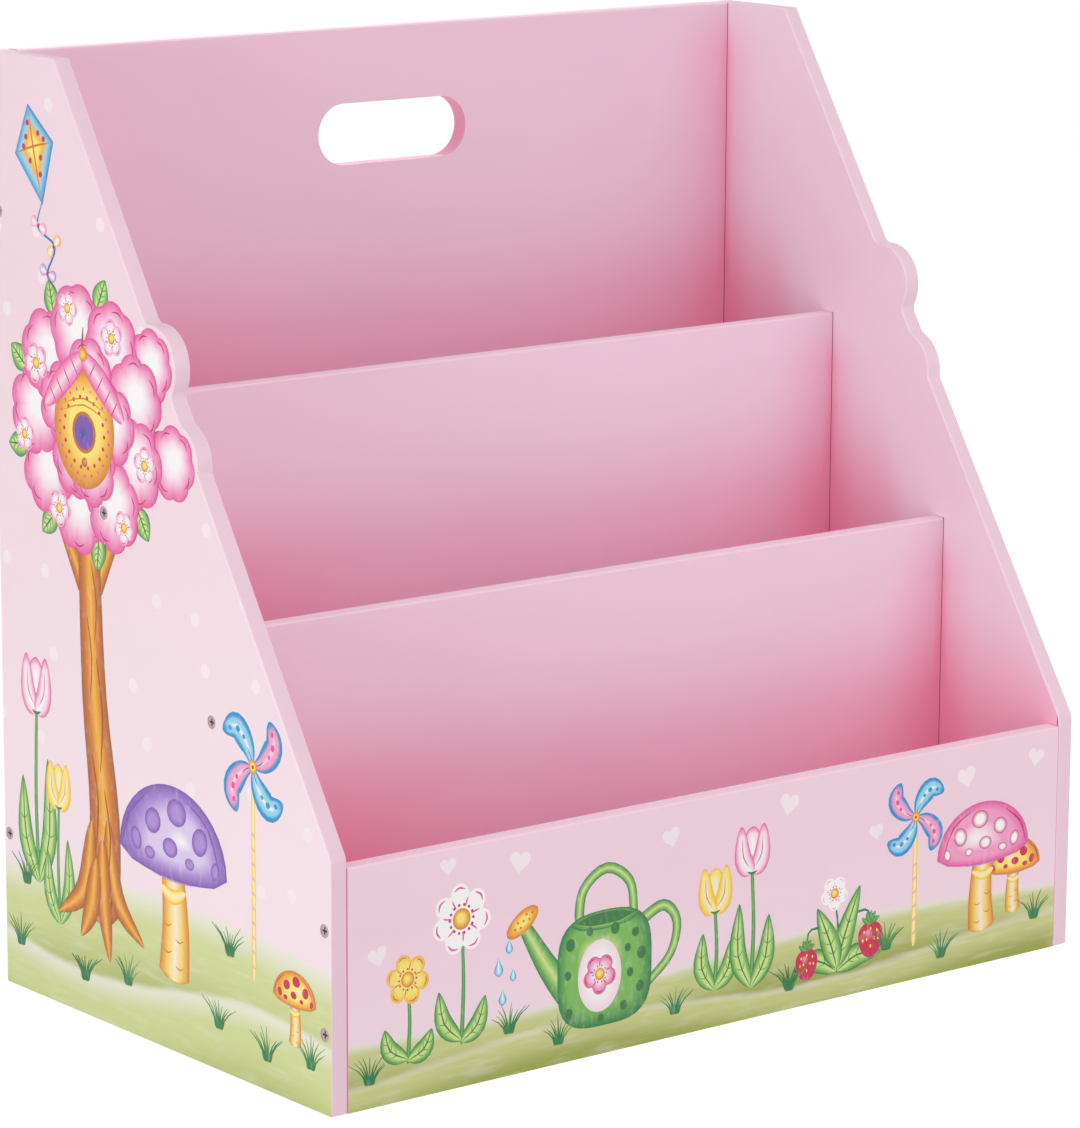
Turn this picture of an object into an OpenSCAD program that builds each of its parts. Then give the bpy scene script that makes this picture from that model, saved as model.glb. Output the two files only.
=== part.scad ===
// Three-tier front-facing bookcase for children.
// Two sloping side panels carry a back panel with a hand slot, a front panel,
// two dividers and three stepped shelves. Countersunk screws hold the upright
// boards, and plain dowels hold the shelves and the foot of each divider.
// Millimetres. X is the width, the front faces -Y, and Z is up.
// The origin is at the middle of the footprint, on the floor.

/* [Case] */
// Overall width over both side panels
case_w = 600; // [450:10:900]
// Overall depth from the front panel to the back panel
case_d = 352; // [330:2:440]
// Height of the side panels and the back panel
case_h = 596; // [540:2:700]
// Thickness of every board
board_t = 12; // [10:1:18]
// Radius worked along the top edges of the upright boards
edge_ease = 1.5; // [0.5:0.1:3]

/* [Side panels] */
// Height of the upright front edge below the slope
front_edge_h = 155; // [150:1:190]
// Radius of the corner where the upright front edge meets the slope
front_corner_r = 12; // [5:1:30]
// Length of the level top edge
top_edge_len = 70; // [40:1:110]
// Radius of both scallops on the sloping edge
scallop_r = 25.5; // [20:0.5:34]
// Distance of the upper scallop up the slope, from the top of the upright edge
upper_scallop_at = 321; // [300:1:380]
// How far the upper scallop stands proud of the slope
upper_scallop_proud = 16.6; // [6:0.1:20]
// Distance of the lower scallop up the slope, from the top of the upright edge
lower_scallop_at = 262; // [200:1:280]
// How far the lower scallop stands proud of the slope
lower_scallop_proud = 5.9; // [2:0.1:12]
// Radius of the hollow corners on each side of a scallop
scallop_fillet_r = 7; // [2:0.5:9]

/* [Tiers] */
// Height of the front panel, which is the front of the lower tier
front_panel_h = 149; // [145:1:150]
// Height of the middle tier, up to the top edge of the middle divider
middle_tier_h = 270; // [258:1:300]
// Height of the upper tier, up to the top edge of the upper divider
upper_tier_h = 394; // [380:1:420]
// Depth of each book pocket, from the top edge in front of it down to its shelf
pocket_depth = 120; // [90:1:122]

/* [Hand slot] */
// Width of the hand slot in the back panel
slot_w = 120; // [90:1:160]
// Height of the hand slot
slot_h = 40; // [30:1:50]
// Wood left between the hand slot and the top edge
slot_below_top = 49; // [30:1:70]

/* [Screws] */
// Length of each screw
screw_len = 40; // [35:1:60]
// Outside diameter of the screw thread
screw_d = 4; // [3.5:0.1:5]
// Diameter of the countersunk head
head_d = 8.2; // [7.6:0.1:9]
// Distance between the turns of the thread
thread_pitch = 1.8; // [1.4:0.1:2.4]
// Distance of the back panel's screws from its top and bottom edges
back_screw_inset = 99; // [60:1:130]
// Height of the front panel's lower screws
front_screw_low = 49; // [40:1:70]
// Height of the front panel's upper screws
front_screw_high = 112; // [95:1:130]
// Distance of the middle divider's screws below its top edge
middle_screw_drop = 55; // [30:1:80]
// Distance of the upper divider's screws below its top edge
upper_screw_drop = 70; // [30:1:90]

/* [Dowels] */
// Diameter of the wooden dowels
dowel_d = 6; // [5:0.5:7]
// Length of the wooden dowels
dowel_len = 30; // [24:1:40]
// How far a dowel goes into a side panel
dowel_in_side = 8; // [5:0.5:8.5]
// Distance between the two dowels at each end of a shelf
shelf_dowel_gap = 60; // [30:1:70]
// Distance of a divider's dowel above its bottom edge
divider_dowel_up = 60; // [30:1:90]

/* [Hidden] */

// Smoothness of round holes, screws and dowels
round_fn = 32;
// Smoothness of the scallops and the ends of the hand slot
edge_fn = 96;

// Clearance round a screw or a dowel in its hole
hole_clear = 0.05;
// Extra depth at the end of a blind hole
end_clear = 1;
// How far a cutter runs past a face that it opens
cut_past = 1;
// How far a screw head sits below the face of the side panel
head_sink = 0.3;

left = -1;
right = 1;
half_w = case_w / 2;
inner_w = case_w - 2 * board_t;
front_y = -case_d / 2;
back_y = case_d / 2;

// The four upright boards stand at an even pitch from front to back
board_rows = 3;
row_pitch = (case_d - board_t) / board_rows;
front_panel_y = front_y + board_t / 2;
middle_divider_y = front_panel_y + row_pitch;
upper_divider_y = middle_divider_y + row_pitch;
back_panel_y = upper_divider_y + row_pitch;

// Each shelf fills the space between two upright boards
shelf_d = row_pitch - board_t;
lower_shelf_z = front_panel_h - pocket_depth - board_t;
middle_shelf_z = middle_tier_h - pocket_depth - board_t;
upper_shelf_z = upper_tier_h - pocket_depth - board_t;
lower_shelf_y = (front_panel_y + middle_divider_y) / 2;
middle_shelf_y = (middle_divider_y + upper_divider_y) / 2;
upper_shelf_y = (upper_divider_y + back_panel_y) / 2;

// Each divider reaches down to the underside of the shelf in front of it
middle_divider_z = lower_shelf_z;
upper_divider_z = middle_shelf_z;

// The slope of the side panels, as a unit vector up it and one into the wood
slope_foot = [front_y, front_edge_h];
slope_head = [back_y - top_edge_len, case_h];
slope_up = (slope_head - slope_foot) / norm(slope_head - slope_foot);
slope_in = [slope_up.y, -slope_up.x];

// Distance from the foot of the slope to where the rounded front corner meets each edge
front_corner_touch = front_corner_r * tan(acos(slope_up.y) / 2);

// A point by the slope, from its distance up the slope and its distance out of the wood
function by_slope(along, out) = slope_foot + along * slope_up - out * slope_in;

// How far the cutter of a hollow corner runs into the slope and the lobe that it touches
hollow_bite = 0.03;
// Distance of that cutter's centre from the slope and from the lobe
hollow_out = scallop_fillet_r - hollow_bite;

// Distance along the slope from the middle of a scallop to each of its hollow corners
function hollow_reach(proud) =
    sqrt((scallop_r + hollow_out) ^ 2 - (scallop_r - proud + hollow_out) ^ 2);

slot_z = case_h - slot_below_top - slot_h / 2;

// Screw head: a short rim over a 90 degree countersink, with a cross recess
screw_r = screw_d / 2;
head_r = head_d / 2;
head_rim = 0.4;
head_h = head_rim + head_r - screw_r;
cross_len = 0.56 * head_d;
cross_w = 0.15 * head_d;
cross_depth = 0.75 * head_h;

// Screw shaft: a smooth shank through the side panel, then the threaded core
core_r = 0.68 * screw_r;
shank_len = board_t - head_sink;
tip_len = 4;
turns = floor((screw_len - shank_len - tip_len) / thread_pitch);

// Each turn of the thread is a ring, placed by shares of the pitch
ring_start = 0.05;
ring_foot = 0.45;
ring_crest = 0.7;
ring_end = 0.95;

dowel_chamfer = 0.8;

// Screw and dowel places, each as [y, z] on a side panel
back_screw_points = [
    [back_panel_y, back_screw_inset],
    [back_panel_y, case_h - back_screw_inset]
];
front_screw_points = [
    [front_panel_y, front_screw_low],
    [front_panel_y, front_screw_high]
];
middle_screw_points = [[middle_divider_y, middle_tier_h - middle_screw_drop]];
upper_screw_points = [[upper_divider_y, upper_tier_h - upper_screw_drop]];
all_screw_points = concat(
    back_screw_points, front_screw_points, middle_screw_points, upper_screw_points
);

function shelf_dowel_points(y, z) = [
    [y - shelf_dowel_gap / 2, z + board_t / 2],
    [y + shelf_dowel_gap / 2, z + board_t / 2]
];
lower_shelf_points = shelf_dowel_points(lower_shelf_y, lower_shelf_z);
middle_shelf_points = shelf_dowel_points(middle_shelf_y, middle_shelf_z);
upper_shelf_points = shelf_dowel_points(upper_shelf_y, upper_shelf_z);
middle_dowel_points = [[middle_divider_y, middle_divider_z + divider_dowel_up]];
upper_dowel_points = [[upper_divider_y, upper_divider_z + divider_dowel_up]];
all_dowel_points = concat(
    lower_shelf_points, middle_shelf_points, upper_shelf_points,
    middle_dowel_points, upper_dowel_points
);

// Puts its children at a [y, z] point with their Z axis running into the case,
// from the outer face of one side panel
module from_side(side, point) {
    translate([side * half_w, point[0], point[1]])
        rotate([0, -side * 90, 0])
            children();
}

// The same at every point of a list, on both side panels
module from_both_sides(points) {
    for (side = [left, right], point = points)
        from_side(side, point) children();
}

// Outline of a side panel, with Y across and Z up
module side_outline() {
    difference() {
        union() {
            polygon([
                [front_y, 0],
                [back_y, 0],
                [back_y, case_h],
                slope_head,
                slope_foot + front_corner_touch * slope_up,
                slope_foot - [0, front_corner_touch]
            ]);
            translate(slope_foot + [front_corner_r, -front_corner_touch])
                circle(r = front_corner_r, $fn = edge_fn);
            scallop(upper_scallop_at, upper_scallop_proud);
            scallop(lower_scallop_at, lower_scallop_proud);
        }
        scallop_hollows(upper_scallop_at, upper_scallop_proud);
        scallop_hollows(lower_scallop_at, lower_scallop_proud);
    }
}

// One round lobe standing proud of the slope, with a web of wood on each side for its hollow corners
module scallop(at, proud) {
    centre = by_slope(at, proud - scallop_r);
    translate(centre) circle(r = scallop_r, $fn = edge_fn);
    above = at + hollow_reach(proud);
    below = at - hollow_reach(proud);
    polygon([centre, by_slope(above, 0), by_slope(above, hollow_out)]);
    polygon([centre, by_slope(below, hollow_out), by_slope(below, 0)]);
}

// The round cutters that shape the hollow corners of one lobe
module scallop_hollows(at, proud) {
    for (way = [-1, 1])
        translate(by_slope(at + way * hollow_reach(proud), hollow_out))
            circle(r = scallop_fillet_r, $fn = edge_fn);
}

// Hole for a screw, from the outer face of a side panel to past the screw's tip
module screw_hole() {
    translate([0, 0, -cut_past])
        cylinder(r = screw_r + hole_clear, h = cut_past + screw_len + end_clear, $fn = round_fn);
    translate([0, 0, -cut_past])
        cylinder(r = head_r + hole_clear, h = cut_past + head_sink + head_rim, $fn = round_fn);
    translate([0, 0, head_sink + head_rim])
        cylinder(
            r1 = head_r + hole_clear, r2 = screw_r + hole_clear,
            h = head_h - head_rim, $fn = round_fn
        );
}

// Hole for a dowel, blind at both ends, from inside a side panel into a board
module dowel_hole() {
    translate([0, 0, board_t - dowel_in_side - end_clear])
        cylinder(r = dowel_d / 2 + hole_clear, h = dowel_len + 2 * end_clear, $fn = round_fn);
}

// Half section of a screw: head, shank, ringed thread and point
function screw_section() = concat(
    [[0, 0], [head_r, 0], [head_r, head_rim], [screw_r, head_h], [screw_r, shank_len]],
    [
        for (turn = [0 : turns - 1])
            let (z = shank_len + turn * thread_pitch)
                each [
                    [core_r, z + ring_start * thread_pitch],
                    [core_r, z + ring_foot * thread_pitch],
                    [screw_r, z + ring_crest * thread_pitch],
                    [core_r, z + ring_end * thread_pitch]
                ]
    ],
    [[core_r, screw_len - tip_len], [0, screw_len]]
);

// One countersunk wood screw with a cross recess, its head at the origin
module screw() {
    difference() {
        rotate_extrude($fn = round_fn) polygon(screw_section());
        for (turn = [0, 90])
            rotate([0, 0, turn])
                translate([-cross_len / 2, -cross_w / 2, -cut_past])
                    cube([cross_len, cross_w, cut_past + cross_depth]);
    }
}

// One dowel with chamfered ends, its first end at the origin
module dowel() {
    r = dowel_d / 2;
    rotate_extrude($fn = round_fn)
        polygon([
            [0, 0],
            [r - dowel_chamfer, 0],
            [r, dowel_chamfer],
            [r, dowel_len - dowel_chamfer],
            [r - dowel_chamfer, dowel_len],
            [0, dowel_len]
        ]);
}

// Screws at a list of points, driven through both side panels
module screws(points) {
    color([0.72, 0.73, 0.76])
        from_both_sides(points)
            translate([0, 0, head_sink]) screw();
}

// Dowels at a list of points, let into both side panels
module dowels(points) {
    color([0.85, 0.72, 0.52])
        from_both_sides(points)
            translate([0, 0, board_t - dowel_in_side]) dowel();
}

// A side panel, with its screw holes and its blind dowel holes
module side_panel(side) {
    color([0.95, 0.84, 0.88])
        difference() {
            translate([side == left ? -half_w : half_w - board_t, 0, 0])
                rotate([90, 0, 90])
                    linear_extrude(board_t) side_outline();
            for (point = all_screw_points)
                from_side(side, point) screw_hole();
            for (point = all_dowel_points)
                from_side(side, point) dowel_hole();
        }
}

// End view of an upright board, with both of its top edges eased
module upright_section(height) {
    square([board_t, height - edge_ease]);
    translate([edge_ease, 0]) square([board_t - 2 * edge_ease, height]);
    for (across = [edge_ease, board_t - edge_ease])
        translate([across, height - edge_ease]) circle(r = edge_ease, $fn = round_fn);
}

// An upright board between the side panels, from z to top
module upright_board(y, z, top) {
    translate([-inner_w / 2, y - board_t / 2, z])
        rotate([90, 0, 90])
            linear_extrude(inner_w) upright_section(top - z);
}

// A level board between the side panels
module shelf_board(y, z) {
    translate([-inner_w / 2, y - shelf_d / 2, z])
        cube([inner_w, shelf_d, board_t]);
}

// Slot with full round ends, cut through the back panel
module hand_slot() {
    straight = slot_w - slot_h;
    deep = board_t + 2 * cut_past;
    translate([0, back_y + cut_past, slot_z])
        rotate([90, 0, 0]) {
            for (end = [-1, 1])
                translate([end * straight / 2, 0, 0])
                    cylinder(r = slot_h / 2, h = deep, $fn = edge_fn);
            translate([-straight / 2, -slot_h / 2, 0])
                cube([straight, slot_h, deep]);
        }
}

module back_panel() {
    color([0.90, 0.70, 0.78])
        difference() {
            upright_board(back_panel_y, 0, case_h);
            hand_slot();
            from_both_sides(back_screw_points) screw_hole();
        }
}

module front_panel() {
    color([0.94, 0.80, 0.86])
        difference() {
            upright_board(front_panel_y, 0, front_panel_h);
            from_both_sides(front_screw_points) screw_hole();
        }
}

module middle_divider() {
    color([0.91, 0.72, 0.80])
        difference() {
            upright_board(middle_divider_y, middle_divider_z, middle_tier_h);
            from_both_sides(middle_screw_points) screw_hole();
            from_both_sides(middle_dowel_points) dowel_hole();
        }
}

module upper_divider() {
    color([0.91, 0.72, 0.80])
        difference() {
            upright_board(upper_divider_y, upper_divider_z, upper_tier_h);
            from_both_sides(upper_screw_points) screw_hole();
            from_both_sides(upper_dowel_points) dowel_hole();
        }
}

// A shelf with its dowel holes
module shelf(y, z, points) {
    color([0.89, 0.68, 0.77])
        difference() {
            shelf_board(y, z);
            from_both_sides(points) dowel_hole();
        }
}

side_panel(left);  // left_side_panel
side_panel(right);  // right_side_panel
back_panel();
front_panel();
middle_divider();
upper_divider();
shelf(lower_shelf_y, lower_shelf_z, lower_shelf_points);  // lower_shelf
shelf(middle_shelf_y, middle_shelf_z, middle_shelf_points);  // middle_shelf
shelf(upper_shelf_y, upper_shelf_z, upper_shelf_points);  // upper_shelf
screws(back_screw_points);  // back_panel_screws
screws(front_screw_points);  // front_panel_screws
screws(middle_screw_points);  // middle_divider_screws
screws(upper_screw_points);  // upper_divider_screws
dowels(lower_shelf_points);  // lower_shelf_dowels
dowels(middle_shelf_points);  // middle_shelf_dowels
dowels(upper_shelf_points);  // upper_shelf_dowels
dowels(middle_dowel_points);  // middle_divider_dowels
dowels(upper_dowel_points);  // upper_divider_dowels
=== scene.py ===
# Painted children's bookcase: satin pink boards, hand-painted garden pictures, zinc screws, beech dowels
import math
import random

import bmesh
import bpy
from mathutils import Matrix, Vector


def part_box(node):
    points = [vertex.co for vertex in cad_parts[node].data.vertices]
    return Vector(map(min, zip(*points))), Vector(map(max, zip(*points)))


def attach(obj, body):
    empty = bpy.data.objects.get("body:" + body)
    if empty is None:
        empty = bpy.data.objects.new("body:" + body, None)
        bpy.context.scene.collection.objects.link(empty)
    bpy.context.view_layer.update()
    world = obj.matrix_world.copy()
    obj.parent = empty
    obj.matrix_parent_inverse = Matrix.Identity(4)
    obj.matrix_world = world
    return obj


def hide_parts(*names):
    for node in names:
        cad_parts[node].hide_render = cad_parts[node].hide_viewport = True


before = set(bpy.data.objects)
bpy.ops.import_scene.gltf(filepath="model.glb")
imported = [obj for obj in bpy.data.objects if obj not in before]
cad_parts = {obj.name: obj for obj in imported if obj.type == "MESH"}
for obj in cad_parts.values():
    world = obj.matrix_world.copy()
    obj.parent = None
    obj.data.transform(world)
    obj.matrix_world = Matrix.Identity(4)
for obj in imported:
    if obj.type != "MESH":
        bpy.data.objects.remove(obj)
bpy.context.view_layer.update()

MM = 0.001
LEFT_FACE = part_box("left_side_panel")[0].x
RIGHT_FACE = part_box("right_side_panel")[1].x
FRONT_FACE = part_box("front_panel")[0].y
BACK_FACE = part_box("back_panel")[1].y
CASE_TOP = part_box("back_panel")[1].z
INNER_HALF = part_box("front_panel")[1].x
ROWS = [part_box(board) for board in ("front_panel", "middle_divider", "upper_divider", "back_panel")]
ROW_FACES = [low.y for low, high in ROWS]
ROW_BACKS = [high.y for low, high in ROWS]
ROW_TOPS = [high.z for low, high in ROWS]


def tone(red, green, blue):
    """A linear colour from screen values of 0 to 255."""
    def linear(value):
        share = value / 255
        return share / 12.92 if share <= 0.04045 else ((share + 0.055) / 1.055) ** 2.4
    return linear(red), linear(green), linear(blue)


# Paint colours
PINK = tone(247, 211, 229)
# A lighter copy of the pink for the side panels' inner walls: painted light
LIT_WALL_PINK = tone(247, 222, 234)
# A darker copy of the pink for the back panel's inner face: painted shade
SHADED_BACK_PINK = tone(239, 199, 218)
EDGE_PINK = tone(240, 206, 220)
# Painted shade: the deeper pink low in the pockets, in their corners and in the hand slot
PAINTED_SHADE_PINK = tone(252, 168, 199)
# Painted shade: the dark rose line where a board meets a side panel
JOINT_SHADE_ROSE = tone(190, 58, 100)
# The paler edges: partly rubbed wear, partly a painted highlight that is strongest on the board tops
PALE_EDGE = tone(254, 222, 235)
PINK_GROUND = tone(246, 219, 229)
PINK_MIST = tone(250, 229, 237)
FRONT_GROUND = tone(246, 214, 228)
FRONT_MIST = tone(248, 222, 234)
DOT_WHITE = tone(251, 240, 244)
# The zinc's darker and paler spot tones are tinted pink: a painted reflection of the pink case
ZINC, ZINC_DARK_SPOTS_AND_REFLECTION, ZINC_PALE_SPOTS_AND_REFLECTION = tone(188, 190, 196), tone(152, 134, 142), tone(208, 190, 198)
BEECH, BEECH_SHADE, BEECH_SHINE = tone(222, 190, 142), tone(206, 168, 118), tone(236, 208, 164)
BEECH_FLECK = tone(172, 126, 80)
WHITE = tone(254, 250, 251)
CREAM = tone(253, 240, 212)
BLUSH = tone(252, 222, 235)
ROSE = tone(246, 160, 202)
MAGENTA = tone(230, 84, 158)
CRIMSON = tone(198, 34, 106)
RED = tone(208, 44, 66)
LILAC = tone(222, 204, 240)
VIOLET = tone(176, 140, 214)
PLUM = tone(126, 84, 176)
BUTTER = tone(254, 232, 120)
AMBER = tone(247, 184, 62)
RUST = tone(214, 122, 44)
BARK = tone(160, 92, 44)
LIME = tone(206, 228, 140)
LEAF = tone(126, 186, 92)
PINE = tone(40, 124, 74)
GRASS = tone(66, 122, 58)
SKY = tone(150, 214, 240)
BLUE = tone(36, 146, 208)
NAVY = tone(24, 84, 150)
CREST = tone(238, 236, 220)
SPRING_GREEN = tone(210, 219, 152)
MEADOW = tone(203, 206, 138)
MOSS = tone(160, 168, 80)


# Camera at the photograph's viewing angle: its place in metres, its turns in degrees and its lens in mm
CAMERA_PLACE = (-1.8848, -2.3573, 0.8892)
CAMERA_YAW, CAMERA_PITCH, CAMERA_ROLL = 38.56, 11.70, 0.29
CAMERA_LENS, CAMERA_SENSOR = 153.83, 36
CAMERA_NEAR, CAMERA_FAR = 0.1, 60


def new_object(name, data):
    """A new object in the scene."""
    made = bpy.data.objects.new(name, data)
    bpy.context.scene.collection.objects.link(made)
    return made


def make_camera():
    """The scene's camera."""
    camera = new_object("camera", bpy.data.cameras.new("camera"))
    camera.data.sensor_width, camera.data.lens = CAMERA_SENSOR, CAMERA_LENS
    camera.data.clip_start, camera.data.clip_end = CAMERA_NEAR, CAMERA_FAR
    stand = Matrix.Translation(CAMERA_PLACE)
    for degrees, axis in ((-CAMERA_YAW, "Z"), (90 - CAMERA_PITCH, "X"), (CAMERA_ROLL, "Z")):
        stand @= Matrix.Rotation(math.radians(degrees), 4, axis)
    camera.matrix_world = stand
    bpy.context.scene.camera = camera


make_camera()


# Material nodes
class Graph:
    """Short calls that add nodes to one node tree."""

    def __init__(self, tree):
        self.tree = tree

    def add(self, kind, inputs=None, **settings):
        """A new node. Its settings come first, because they decide which inputs it has."""
        node = self.tree.nodes.new(kind)
        for name, value in settings.items():
            setattr(node, name, value)
        for name, value in (inputs or {}).items():
            self.feed(node.inputs[name], value)
        return node

    def feed(self, socket, value):
        """Gives a socket a value, or a link from another socket."""
        if isinstance(value, bpy.types.NodeSocket):
            self.tree.links.new(value, socket)
        elif socket.type == "RGBA" and len(value) == 3:
            socket.default_value = (*value, 1)
        else:
            socket.default_value = value

    def math(self, operation, *values):
        """The result of a Math node."""
        return self.add("ShaderNodeMath", dict(enumerate(values)), operation=operation).outputs[0]

    def step(self, value, start, end):
        """0 up to the start and 1 past the end, with a smooth change between. It may run downwards."""
        inputs = {"Value": value, "From Min": start, "From Max": end}
        return self.add("ShaderNodeMapRange", inputs, interpolation_type="SMOOTHSTEP").outputs[0]

    def mix(self, share, first, second, blend="MIX"):
        """Two colours mixed. On this node they go in at sockets 6 and 7 and come out at 2."""
        node = self.add("ShaderNodeMix", data_type="RGBA", blend_type=blend)
        for socket, value in ((0, share), (6, first), (7, second)):
            self.feed(node.inputs[socket], value)
        return node.outputs[2]

    def noise(self, place, size, detail=2.0, stretch=(1, 1, 1)):
        """Noise from 0 to 1 whose spots are about size metres across, times their stretch on each axis."""
        scale = tuple(1 / (size * s) for s in stretch)
        mapped = self.add("ShaderNodeMapping", {"Vector": place, "Scale": scale}).outputs[0]
        inputs = {"Vector": mapped, "Scale": 1.0, "Detail": detail, "Roughness": 0.5}
        return self.add("ShaderNodeTexNoise", inputs).outputs["Fac"]

    def seen_directly(self):
        """1 for the rays that see the floor and the world themselves, also in metal or through glass."""
        rays = self.add("ShaderNodeLightPath").outputs
        indirect = self.math("MAXIMUM", rays["Is Glossy Ray"], rays["Is Transmission Ray"])
        return self.math("MAXIMUM", rays["Is Camera Ray"], indirect)


def new_group(name, inputs, outputs):
    """An empty node group with its sockets, its input node and its output node."""
    tree = bpy.data.node_groups.new(name, "ShaderNodeTree")
    kinds = {"number": "NodeSocketFloat", "vector": "NodeSocketVector", "colour": "NodeSocketColor"}
    for side, sockets in (("INPUT", inputs), ("OUTPUT", outputs)):
        for socket, kind in sockets.items():
            tree.interface.new_socket(socket, in_out=side, socket_type=kinds[kind])
    graph = Graph(tree)
    return graph, graph.add("NodeGroupInput").outputs, graph.add("NodeGroupOutput").inputs


# Satin paint: how large its clouds, streaks and other marks are, and how much they count
CLOUD_SIZE, STREAK_SIZE, STREAK_SHARE = 110 * MM, 12 * MM, 0.35
# The patches of the paler edge, which is partly rubbed wear and partly a painted highlight
WEAR_AND_HIGHLIGHT_SIZE, WEAR_AND_HIGHLIGHT_FADE = 20 * MM, (0.1, 0.45)
GLOSS_SIZE, GLOSS_CHANGE, GLOSS_LEAST = 30 * MM, 0.12, 0.36
PEEL_SIZE, ROLLER_SIZE, ROLLER_SHARE = 1.6 * MM, 9 * MM, 1.4
SATIN_SHINE, SATIN_BUMP = 0.4, 0.02 * MM


def make_satin_group():
    """Satin paint: faint cloudy tone, paler edges of rubbed wear and painted highlight, uneven gloss and a
    fine roller texture.
    """
    graph, given, out = new_group(
        "satin paint",
        {"Place": "vector", "Tone": "colour", "Edge tone": "colour", "Edge": "number",
         "Cloud": "number"},
        {"Colour": "colour", "Roughness": "number", "Height": "number"},
    )
    cloud = graph.noise(given["Place"], CLOUD_SIZE, detail=3)
    streak = graph.noise(given["Place"], STREAK_SIZE, detail=3, stretch=(6, 1, 1))
    uneven = graph.math("MULTIPLY_ADD", streak, STREAK_SHARE, cloud)
    average = 0.5 * (1 + STREAK_SHARE)
    drift = graph.math("MULTIPLY", graph.math("SUBTRACT", uneven, average), given["Cloud"])
    shade = graph.math("ADD", 1.0, drift)
    grey = graph.add("ShaderNodeCombineColor", {"Red": shade, "Green": shade, "Blue": shade}).outputs[0]
    patches = graph.step(graph.noise(given["Place"], WEAR_AND_HIGHLIGHT_SIZE), *WEAR_AND_HIGHLIGHT_FADE)
    wear_and_highlight = graph.math("MULTIPLY", given["Edge"], patches)
    base = graph.mix(wear_and_highlight, given["Tone"], given["Edge tone"])
    graph.feed(out["Colour"], graph.mix(1.0, base, grey, blend="MULTIPLY"))
    gloss = graph.noise(given["Place"], GLOSS_SIZE, detail=4)
    graph.feed(out["Roughness"], graph.math("MULTIPLY_ADD", gloss, GLOSS_CHANGE, GLOSS_LEAST))
    peel = graph.noise(given["Place"], PEEL_SIZE)
    roller = graph.noise(given["Place"], ROLLER_SIZE, detail=1)
    graph.feed(out["Height"], graph.math("MULTIPLY_ADD", roller, ROLLER_SHARE, peel))
    return graph.tree


# Marks on a board's faces, in the layers that its paint reads: how much of the pale edge they have, partly
# rubbed wear and partly a painted highlight that is strongest on the upward tops, and how far inside they
# are, which sets the painted shade in the pockets, the hand slot and the grooves. The grooves at the ends
# of the front panel stay pale.
BOARD_LAYERS = ("eased", "inside")
TOP_EASE, SIDE_EASE, LIP_EASE = 1.0, 0.5, 0.2
POCKET_MARK, SLOT_MARK, GROOVE_MARK = 1.0, 2.0, 3.0
FRONT_GROOVE_MARK = 0.8

# Painted shade, where the pink deepens inside. Low in a pocket: between which heights above the lip of the
# board in front, how soon behind a board that lip counts, and the shares in the middle and more at the ends
LOW_START, LOW_END, LIP_RUN = 80 * MM, -25 * MM, 70 * MM
MIDDLE_SHARE, LEFT_SHARE, RIGHT_SHARE, END_REACH = 0.45, 0.55, 0.31, 210 * MM
# A little more painted shade towards the left, where the left side panel shades the pockets
LEFTWARDS_SHARE, LEFTWARDS_REACH = 0.16, 400 * MM

# Painted shade in the upright corners, wide and then tight, from so far below the board's top edge
CORNER_SHARE, CORNER_REACH, CORNER_SQUEEZE = 0.4, 40 * MM, 0.7
TIGHT_SHARE, TIGHT_REACH = 0.36, 9 * MM
SHELTER_REACH = 40 * MM

# The painted shade line at a joint: how far it comes forward of the board's face
JOINT_REACH = 2 * MM


def low_painted_shade(graph, above_lip, from_left, from_right):
    """Painted shade: more pink low in a pocket, most of all at its ends, and a little towards the left."""
    low = graph.step(above_lip, LOW_START, LOW_END)
    at_left, at_right = (graph.step(away, END_REACH, 0.0) for away in (from_left, from_right))
    ends = graph.math("MULTIPLY_ADD", at_left, LEFT_SHARE, MIDDLE_SHARE)
    ends = graph.math("MULTIPLY_ADD", at_right, RIGHT_SHARE, ends)
    leftwards = graph.math("MULTIPLY", graph.step(from_left, LEFTWARDS_REACH, 0.0), LEFTWARDS_SHARE)
    return graph.math("MULTIPLY_ADD", low, ends, leftwards)


def corner_painted_shade(graph, from_end, to_board, under_rim):
    """Painted shade: more pink in the upright corners below a board's top edge, wide and soft, then tight.
    """
    wide = graph.math("MAXIMUM", graph.math("MULTIPLY", from_end, CORNER_SQUEEZE), to_board)
    tight = graph.math("MAXIMUM", from_end, graph.math("SUBTRACT", to_board, JOINT_REACH))
    corner = graph.math("MULTIPLY", graph.step(wide, CORNER_REACH, 0.0), CORNER_SHARE)
    corner = graph.math("MULTIPLY_ADD", graph.step(tight, TIGHT_REACH, 0.0), TIGHT_SHARE, corner)
    return graph.math("MULTIPLY", corner, graph.step(under_rim, 0.0, SHELTER_REACH))


def wall_shade_line(graph, from_end, to_board, under_rim):
    """1 on a side panel's wall in the fine line where a board meets it, for the painted shade of the joint.
    """
    on_wall = graph.math("COMPARE", from_end, 0.0, 0.1 * MM)
    past_face = graph.math("LESS_THAN", to_board, JOINT_REACH - 0.01 * MM)
    below_rim = graph.math("GREATER_THAN", under_rim, 0.0)
    return graph.math("MULTIPLY", graph.math("MULTIPLY", on_wall, past_face), below_rim)


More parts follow.
